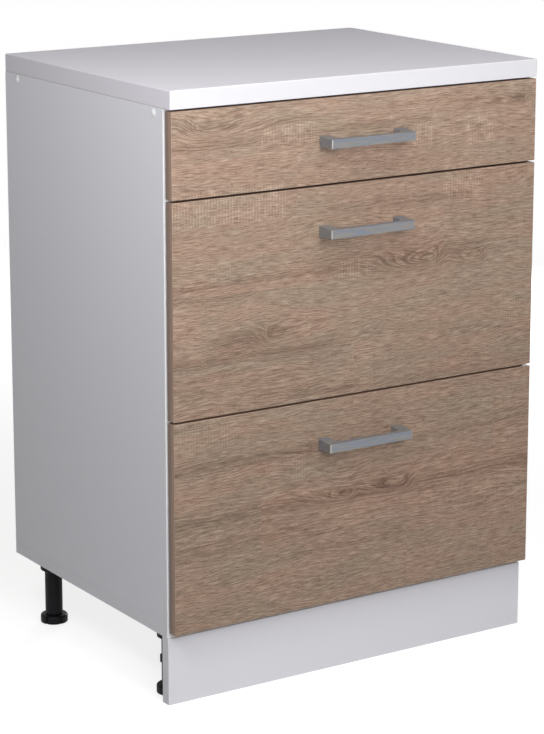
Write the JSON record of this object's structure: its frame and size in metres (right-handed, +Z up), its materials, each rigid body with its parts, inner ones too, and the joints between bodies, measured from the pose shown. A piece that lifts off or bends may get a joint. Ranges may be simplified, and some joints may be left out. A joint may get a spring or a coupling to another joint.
{
  "type": "base cabinet with drawers",
  "caption": "Kitchen base cabinet with a shallow and two deep drawers, bow handles, a flush worktop, a clip-on plinth and adjustable legs.",
  "frame": {"origin": "on the floor, under the centre of the overall box", "axes": "+X to the right as seen from the front, -Y the way the drawers open, +Z up"},
  "size_m": [0.604, 0.49, 0.84],
  "materials": {
    "white_board": "white melamine-coated chipboard, fine satin",
    "worktop_laminate": "white laminate on chipboard, satin",
    "hardboard": "white lacquered hardboard",
    "oak_decor": "sawn light oak decor, matt with fine pores",
    "handle_grey": "satin metallic grey",
    "white_steel": "white epoxy powder coat",
    "roller_plastic": "natural white plastic",
    "black_plastic": "moulded black plastic",
    "white_plastic": "moulded white plastic"
  },
  "bodies": {
    "carcass": {"bottom_panel": "white_board", "side_left": "white_board", "side_right": "white_board", "screw_cover_front_left": "white_plastic", "screw_cover_front_right": "white_plastic", "screw_cover_rear_left": "white_plastic", "screw_cover_rear_right": "white_plastic", "top_rail_front": "white_board", "top_rail_rear": "white_board", "back_panel": "hardboard", "worktop": "worktop_laminate", "leg_front_left": "black_plastic", "leg_front_right": "black_plastic", "leg_rear_left": "black_plastic", "leg_rear_right": "black_plastic", "bottom_drawer_runner_left": "white_steel", "bottom_drawer_runner_right": "white_steel", "middle_drawer_runner_left": "white_steel", "middle_drawer_runner_right": "white_steel", "top_drawer_runner_left": "white_steel", "top_drawer_runner_right": "white_steel"},
    "plinth": {"plinth_board": "white_board", "plinth_clip_left": "black_plastic", "plinth_clip_right": "black_plastic"},
    "foot_front_left": {"foot_front_left": "black_plastic"},
    "foot_front_right": {"foot_front_right": "black_plastic"},
    "foot_rear_left": {"foot_rear_left": "black_plastic"},
    "foot_rear_right": {"foot_rear_right": "black_plastic"},
    "bottom_drawer": {"bottom_drawer_front": "oak_decor", "bottom_drawer_handle": "handle_grey", "bottom_drawer_bottom": "white_board", "bottom_drawer_back": "white_board", "bottom_drawer_side_left": "white_steel", "bottom_drawer_side_right": "white_steel"},
    "middle_drawer": {"middle_drawer_front": "oak_decor", "middle_drawer_handle": "handle_grey", "middle_drawer_bottom": "white_board", "middle_drawer_back": "white_board", "middle_drawer_side_left": "white_steel", "middle_drawer_side_right": "white_steel"},
    "top_drawer": {"top_drawer_front": "oak_decor", "top_drawer_handle": "handle_grey", "top_drawer_bottom": "white_board", "top_drawer_back": "white_board", "top_drawer_side_left": "white_steel", "top_drawer_side_right": "white_steel"},
    "bottom_drawer_front_roller_left": {"bottom_drawer_front_roller_left": "roller_plastic"},
    "bottom_drawer_rear_roller_left": {"bottom_drawer_rear_roller_left": "roller_plastic"},
    "bottom_drawer_front_roller_right": {"bottom_drawer_front_roller_right": "roller_plastic"},
    "bottom_drawer_rear_roller_right": {"bottom_drawer_rear_roller_right": "roller_plastic"},
    "middle_drawer_front_roller_left": {"middle_drawer_front_roller_left": "roller_plastic"},
    "middle_drawer_rear_roller_left": {"middle_drawer_rear_roller_left": "roller_plastic"},
    "middle_drawer_front_roller_right": {"middle_drawer_front_roller_right": "roller_plastic"},
    "middle_drawer_rear_roller_right": {"middle_drawer_rear_roller_right": "roller_plastic"},
    "top_drawer_front_roller_left": {"top_drawer_front_roller_left": "roller_plastic"},
    "top_drawer_rear_roller_left": {"top_drawer_rear_roller_left": "roller_plastic"},
    "top_drawer_front_roller_right": {"top_drawer_front_roller_right": "roller_plastic"},
    "top_drawer_rear_roller_right": {"top_drawer_rear_roller_right": "roller_plastic"}
  },
  "joints": [
    {"name": "bottom_drawer_slide", "type": "slide", "parent": "carcass", "child": "bottom_drawer", "axis": [0, -1, 0], "range_m": [0, 0.3]},
    {"name": "middle_drawer_slide", "type": "slide", "parent": "carcass", "child": "middle_drawer", "axis": [0, -1, 0], "range_m": [0, 0.3]},
    {"name": "top_drawer_slide", "type": "slide", "parent": "carcass", "child": "top_drawer", "axis": [0, -1, 0], "range_m": [0, 0.3]},
    {"name": "plinth_pull", "type": "slide", "parent": "carcass", "child": "plinth", "axis": [0, -1, 0], "range_m": [0, 0.06]},
    {"name": "foot_front_left_screw", "type": "hinge", "parent": "carcass", "child": "foot_front_left", "pos_m": [-0.272, -0.157, 0.03], "axis": [0, 0, 1], "range_deg": [0, 1800]},
    {"name": "foot_front_right_screw", "type": "hinge", "parent": "carcass", "child": "foot_front_right", "pos_m": [0.272, -0.157, 0.03], "axis": [0, 0, 1], "range_deg": [0, 1800]},
    {"name": "foot_rear_left_screw", "type": "hinge", "parent": "carcass", "child": "foot_rear_left", "pos_m": [-0.272, 0.181, 0.03], "axis": [0, 0, 1], "range_deg": [0, 1800]},
    {"name": "foot_rear_right_screw", "type": "hinge", "parent": "carcass", "child": "foot_rear_right", "pos_m": [0.272, 0.181, 0.03], "axis": [0, 0, 1], "range_deg": [0, 1800]},
    {"name": "bottom_drawer_front_roller_left_turn", "type": "hinge", "parent": "carcass", "child": "bottom_drawer_front_roller_left", "pos_m": [-0.2776, -0.182, 0.1333], "axis": [1, 0, 0], "continuous": true},
    {"name": "bottom_drawer_rear_roller_left_turn", "type": "hinge", "parent": "bottom_drawer", "child": "bottom_drawer_rear_roller_left", "pos_m": [-0.2776, 0.191, 0.1321], "axis": [1, 0, 0], "continuous": true},
    {"name": "bottom_drawer_front_roller_right_turn", "type": "hinge", "parent": "carcass", "child": "bottom_drawer_front_roller_right", "pos_m": [0.2776, -0.182, 0.1333], "axis": [1, 0, 0], "continuous": true},
    {"name": "bottom_drawer_rear_roller_right_turn", "type": "hinge", "parent": "bottom_drawer", "child": "bottom_drawer_rear_roller_right", "pos_m": [0.2776, 0.191, 0.1321], "axis": [1, 0, 0], "continuous": true},
    {"name": "middle_drawer_front_roller_left_turn", "type": "hinge", "parent": "carcass", "child": "middle_drawer_front_roller_left", "pos_m": [-0.2776, -0.182, 0.4298], "axis": [1, 0, 0], "continuous": true},
    {"name": "middle_drawer_rear_roller_left_turn", "type": "hinge", "parent": "middle_drawer", "child": "middle_drawer_rear_roller_left", "pos_m": [-0.2776, 0.191, 0.4286], "axis": [1, 0, 0], "continuous": true},
    {"name": "middle_drawer_front_roller_right_turn", "type": "hinge", "parent": "carcass", "child": "middle_drawer_front_roller_right", "pos_m": [0.2776, -0.182, 0.4298], "axis": [1, 0, 0], "continuous": true},
    {"name": "middle_drawer_rear_roller_right_turn", "type": "hinge", "parent": "middle_drawer", "child": "middle_drawer_rear_roller_right", "pos_m": [0.2776, 0.191, 0.4286], "axis": [1, 0, 0], "continuous": true},
    {"name": "top_drawer_front_roller_left_turn", "type": "hinge", "parent": "carcass", "child": "top_drawer_front_roller_left", "pos_m": [-0.2776, -0.182, 0.7263], "axis": [1, 0, 0], "continuous": true},
    {"name": "top_drawer_rear_roller_left_turn", "type": "hinge", "parent": "top_drawer", "child": "top_drawer_rear_roller_left", "pos_m": [-0.2776, 0.191, 0.7251], "axis": [1, 0, 0], "continuous": true},
    {"name": "top_drawer_front_roller_right_turn", "type": "hinge", "parent": "carcass", "child": "top_drawer_front_roller_right", "pos_m": [0.2776, -0.182, 0.7263], "axis": [1, 0, 0], "continuous": true},
    {"name": "top_drawer_rear_roller_right_turn", "type": "hinge", "parent": "top_drawer", "child": "top_drawer_rear_roller_right", "pos_m": [0.2776, 0.191, 0.7251], "axis": [1, 0, 0], "continuous": true}
  ],
  "couplings": [
    {"joint": "bottom_drawer_front_roller_left_turn", "follows": "bottom_drawer_slide", "rad_per_m": 107.53},
    {"joint": "bottom_drawer_rear_roller_left_turn", "follows": "bottom_drawer_slide", "rad_per_m": 117.65},
    {"joint": "bottom_drawer_front_roller_right_turn", "follows": "bottom_drawer_slide", "rad_per_m": 107.53},
    {"joint": "bottom_drawer_rear_roller_right_turn", "follows": "bottom_drawer_slide", "rad_per_m": 117.65},
    {"joint": "middle_drawer_front_roller_left_turn", "follows": "middle_drawer_slide", "rad_per_m": 107.53},
    {"joint": "middle_drawer_rear_roller_left_turn", "follows": "middle_drawer_slide", "rad_per_m": 117.65},
    {"joint": "middle_drawer_front_roller_right_turn", "follows": "middle_drawer_slide", "rad_per_m": 107.53},
    {"joint": "middle_drawer_rear_roller_right_turn", "follows": "middle_drawer_slide", "rad_per_m": 117.65},
    {"joint": "top_drawer_front_roller_left_turn", "follows": "top_drawer_slide", "rad_per_m": 107.53},
    {"joint": "top_drawer_rear_roller_left_turn", "follows": "top_drawer_slide", "rad_per_m": 117.65},
    {"joint": "top_drawer_front_roller_right_turn", "follows": "top_drawer_slide", "rad_per_m": 107.53},
    {"joint": "top_drawer_rear_roller_right_turn", "follows": "top_drawer_slide", "rad_per_m": 117.65}
  ]
}
